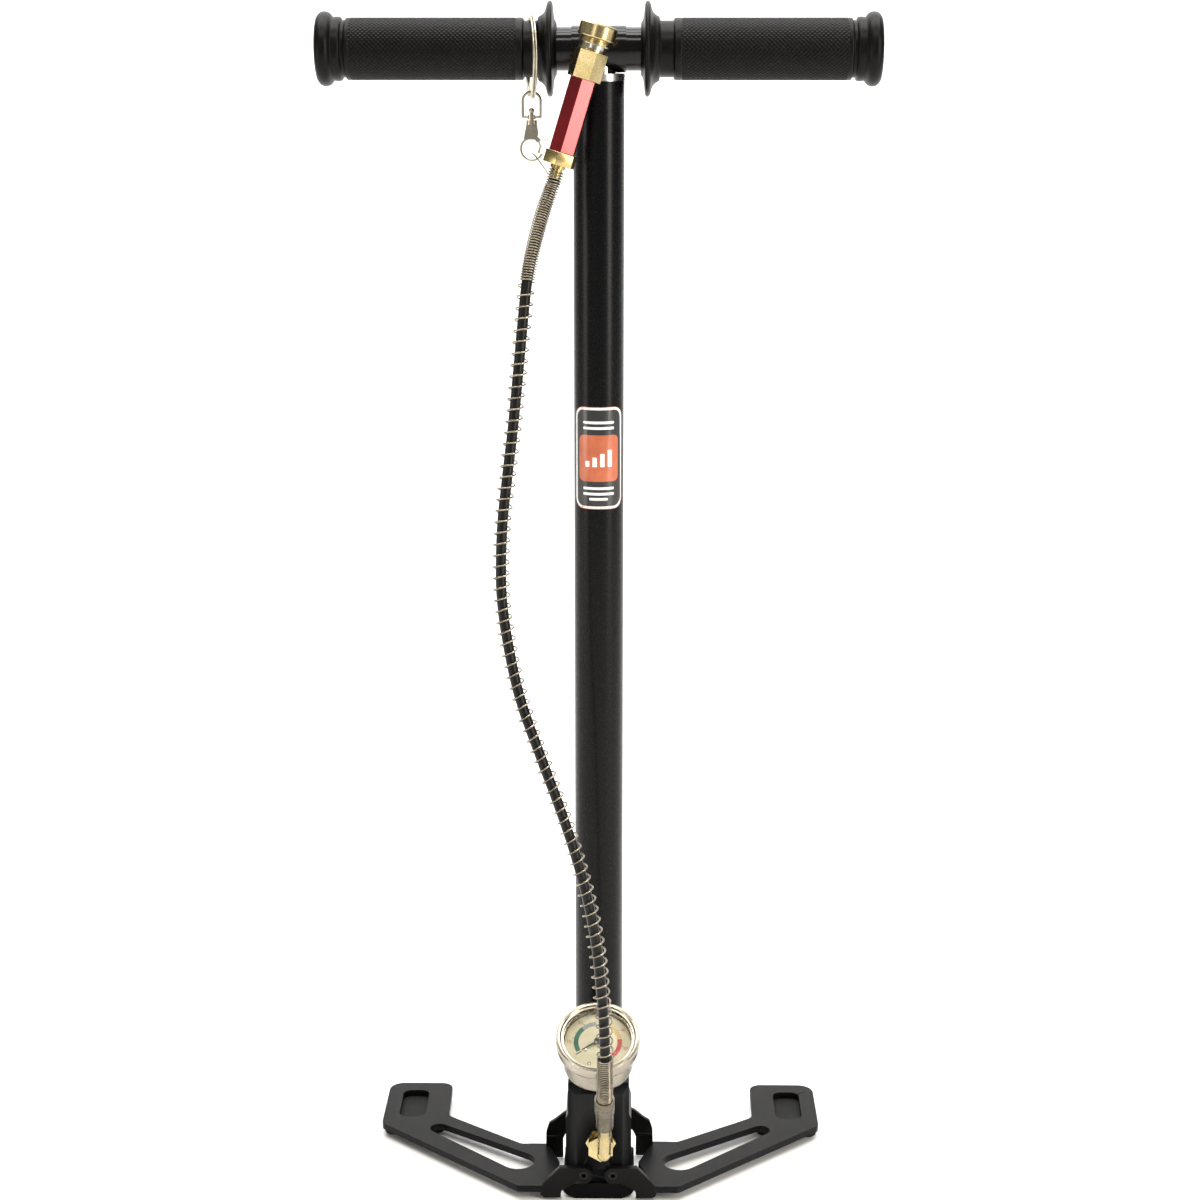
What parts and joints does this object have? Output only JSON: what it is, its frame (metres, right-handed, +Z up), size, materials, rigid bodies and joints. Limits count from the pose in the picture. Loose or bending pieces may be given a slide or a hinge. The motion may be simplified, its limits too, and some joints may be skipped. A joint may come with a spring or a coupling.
{
  "type": "high-pressure hand pump",
  "caption": "Upright high-pressure hand pump with a T-handle, folding foot plates, a tilted gauge and a spring-guarded hose with a quick coupler.",
  "frame": {"origin": "on the floor under the cylinder's axis", "axes": "+Z up along the cylinder, the gauge and hose on the -Y side, +X towards the right grip seen from the front"},
  "size_m": [0.289, 0.1832, 0.6628],
  "materials": {
    "black_anodised": "satin",
    "black_gloss": "gloss",
    "foot_black": "satin",
    "silver": "satin",
    "steel": "brushed",
    "bright_steel": "polished",
    "dark_steel": "satin",
    "brass": "satin",
    "bronze": "satin",
    "red_anodised": "satin",
    "rubber": "matt",
    "seal_rubber": "matt",
    "hose_black": "satin",
    "nickel": "polished",
    "cream_metal": "satin",
    "dial_face": "matt",
    "clear_glass": "clear",
    "needle_black": "matt",
    "label_orange": "satin",
    "filter_felt": "matt"
  },
  "bodies": {
    "base": {"outer_tube": "black_anodised", "tube_label": "label_orange", "gland_nut": "silver", "guide_bush": "bronze", "wiper_seal": "seal_rubber", "tube_seal": "seal_rubber", "centre_tube": "steel", "second_stage_head": "bronze", "second_stage_seal": "seal_rubber", "base_block": "foot_black", "base_foot": "foot_black", "base_screws": "steel", "pivot_pins": "dark_steel", "valve_seat": "bronze", "valve_spring": "steel", "gauge_stem": "brass", "gauge_case": "cream_metal", "gauge_bezel": "cream_metal", "gauge_dial": "dial_face", "gauge_lens": "clear_glass", "gauge_tube": "bronze", "gauge_movement": "bronze", "needle_stop": "steel", "outlet_elbow": "brass", "hose_ferrule": "steel", "low_end_spring": "bright_steel", "hose": "hose_black", "hose_guard": "steel", "top_end_spring": "steel", "spring_tail": "steel", "connector_neck": "brass", "lower_nut": "brass", "filter_body": "red_anodised", "filter_element": "filter_felt", "coupler_body": "brass", "coupler_spring": "steel", "coupler_balls": "bright_steel"},
    "handle": {"crossbar": "black_gloss", "hub_sleeve": "black_gloss", "hub_pin": "steel", "left_grip": "rubber", "right_grip": "rubber", "piston_tube": "bright_steel", "first_stage_piston": "bronze", "piston_seals": "seal_rubber", "plunger_rod": "steel", "plunger_seal": "seal_rubber"},
    "left_foot": {"left_foot_plate": "foot_black", "left_foot_pad": "rubber"},
    "right_foot": {"right_foot_plate": "foot_black", "right_foot_pad": "rubber"},
    "needle": {"gauge_needle": "needle_black"},
    "bleed": {"bleed_screw": "black_anodised"},
    "valve": {"valve_ball": "bright_steel"},
    "collar": {"coupler_collar": "brass"},
    "ring": {"split_ring": "nickel"},
    "eye": {"swivel_eye": "nickel"},
    "hook": {"snap_hook": "nickel", "hook_rivets": "nickel"},
    "gate": {"hook_gate": "nickel"}
  },
  "joints": [
    {"name": "handle_slide", "type": "slide", "parent": "base", "child": "handle", "axis": [0, 0, 1], "range_m": [0, 0.48]},
    {"name": "left_foot_fold", "type": "hinge", "parent": "base", "child": "left_foot", "pos_m": [-0.0083, 0, 0.0152], "axis": [0, 1, 0], "range_deg": [0, 60]},
    {"name": "right_foot_fold", "type": "hinge", "parent": "base", "child": "right_foot", "pos_m": [0.0083, 0, 0.0152], "axis": [0, -1, 0], "range_deg": [0, 60]},
    {"name": "gauge_needle_turn", "type": "hinge", "parent": "base", "child": "needle", "pos_m": [0, -0.0444, 0.1098], "axis": [0, 0.5, -0.866], "range_deg": [0, 270], "stiffness_Nm_per_rad": 0.0005, "springref_deg": -11.46},
    {"name": "bleed_screw_turn", "type": "hinge", "parent": "base", "child": "bleed", "pos_m": [0, 0.018, 0.0495], "axis": [0, 1, 0], "range_deg": [0, 360]},
    {"name": "valve_ball_lift", "type": "slide", "parent": "base", "child": "valve", "axis": [0, 0, -1], "range_m": [0, 0.001], "stiffness_N_per_m": 5, "springref_m": -0.002, "deforming": ["valve_spring"]},
    {"name": "collar_slide", "type": "slide", "parent": "base", "child": "collar", "axis": [-0.2921, -0.0436, -0.9554], "range_m": [0, 0.0016], "stiffness_N_per_m": 1000, "springref_m": -0.001},
    {"name": "ring_swing", "type": "hinge", "parent": "handle", "child": "ring", "pos_m": [-0.0347, 0, 0.6388], "axis": [1, 0, 0], "range_deg": [0, 60]},
    {"name": "eye_swing", "type": "hinge", "parent": "ring", "child": "eye", "pos_m": [-0.0347, 0, 0.6126], "axis": [0, 1, 0], "range_deg": [-10, 60]},
    {"name": "hook_turn", "type": "hinge", "parent": "eye", "child": "hook", "pos_m": [-0.0347, 0, 0.6047], "axis": [0, 0, 1], "range_deg": [0, 75]},
    {"name": "gate_open", "type": "hinge", "parent": "hook", "child": "gate", "pos_m": [-0.03168, 0, 0.59323], "axis": [0, 1, 0], "range_deg": [0, 25], "stiffness_Nm_per_rad": 0.0001, "springref_deg": -57.3}
  ]
}
